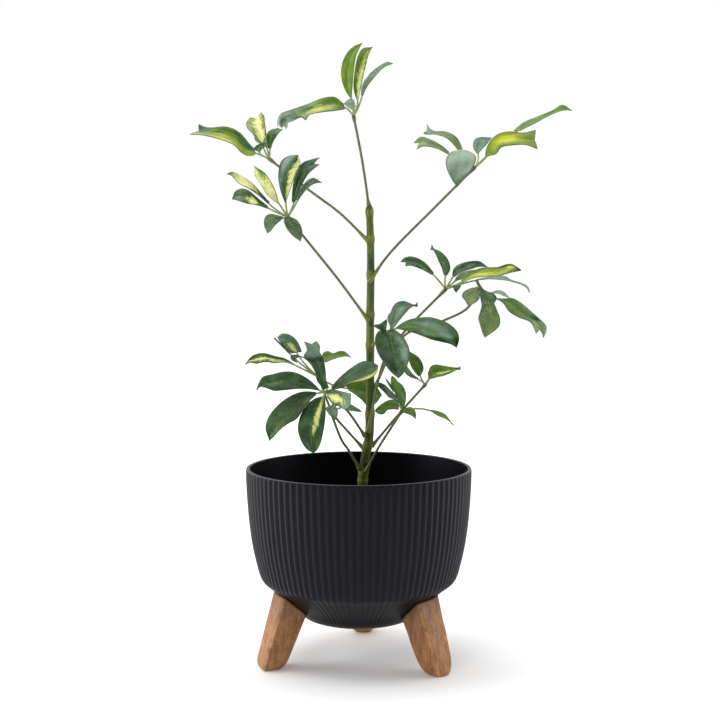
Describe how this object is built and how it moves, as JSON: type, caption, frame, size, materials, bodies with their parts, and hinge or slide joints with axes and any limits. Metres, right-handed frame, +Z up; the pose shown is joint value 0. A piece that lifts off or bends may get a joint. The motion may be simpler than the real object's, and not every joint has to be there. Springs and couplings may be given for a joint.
{
  "type": "potted schefflera",
  "caption": "Variegated schefflera with whorls of glossy leaflets, standing in soil in a ribbed bowl pot on splayed wooden legs.",
  "frame": {"origin": "centre of the bounding box in plan, on the floor under the feet", "axes": "+Z up along the stem, -Y towards the front of the plant, +X to its right"},
  "size_m": [0.3844, 0.224, 0.6113],
  "materials": {
    "pot": "matte, ribbed",
    "wood": "satin oiled",
    "steel": "satin",
    "soil": "rough, crumbly",
    "bark": "green bark with pale scars",
    "foliage": "glossy, variegated"
  },
  "bodies": {
    "root": {"pot": "pot", "leg_left": "wood", "leg_right": "wood", "leg_back": "wood", "screw_left": "steel", "screw_right": "steel", "screw_back": "steel", "soil": "soil", "stem": "bark", "leaf_top": "foliage", "leaf_high_left": "foliage", "leaf_mid_left": "foliage", "leaf_high_right": "foliage", "leaf_mid_right": "foliage", "leaf_right": "foliage", "leaf_front": "foliage", "leaf_low_left": "foliage", "leaf_low_left_back": "foliage", "leaf_low_centre": "foliage", "leaf_low_right": "foliage", "leaf_low_right_back": "foliage"}
  },
  "joints": []
}
